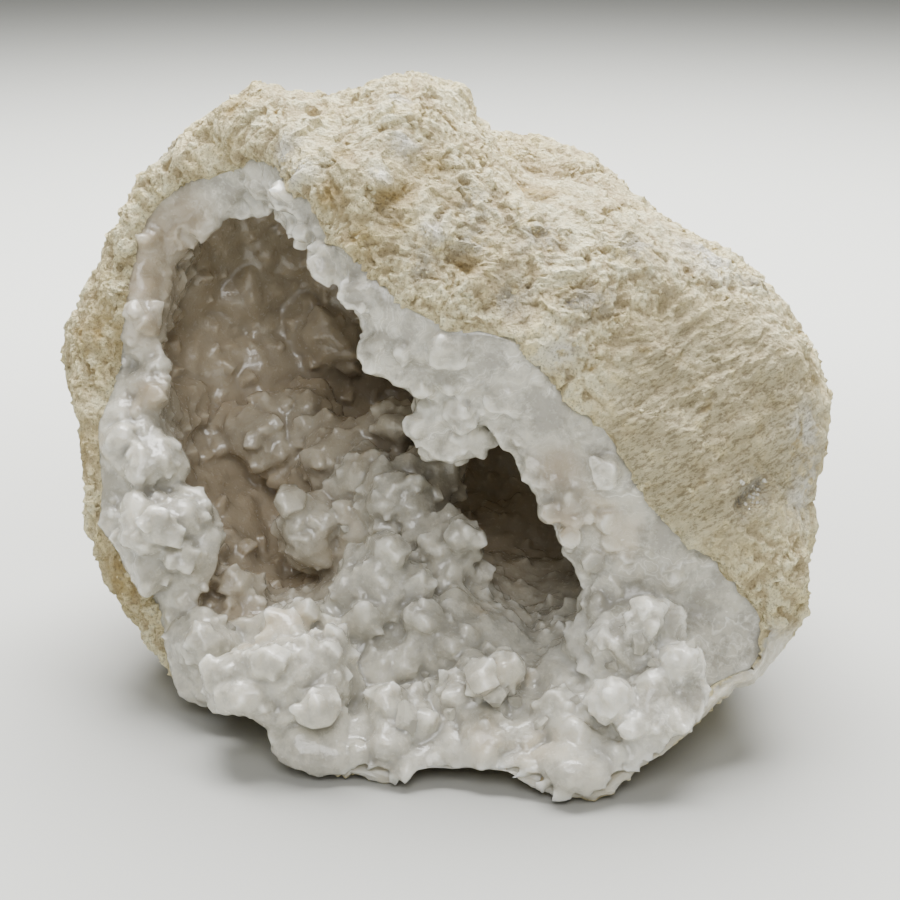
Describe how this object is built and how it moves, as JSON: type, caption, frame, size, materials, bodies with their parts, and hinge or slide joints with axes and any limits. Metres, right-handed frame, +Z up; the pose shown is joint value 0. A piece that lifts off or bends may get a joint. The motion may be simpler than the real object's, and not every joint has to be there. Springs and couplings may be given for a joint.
{
  "type": "quartz geode",
  "caption": "Broken-open quartz geode: a lumpy cream limestone rind round a thick crust of white quartz crystals that lines a deep hollow.",
  "frame": {"origin": "middle of the bounding box, at the surface the stone stands on", "axes": "+Z up as it stands, +X to the right and -Y towards the viewer, who looks at the broken front"},
  "size_m": [0.1154, 0.0974, 0.0912],
  "materials": {
    "limestone": "chalky, matt",
    "quartz": "milky, sugary, glassy on the crystal faces"
  },
  "bodies": {
    "root": {"rind": "limestone", "quartz_crust": "quartz"}
  },
  "joints": []
}
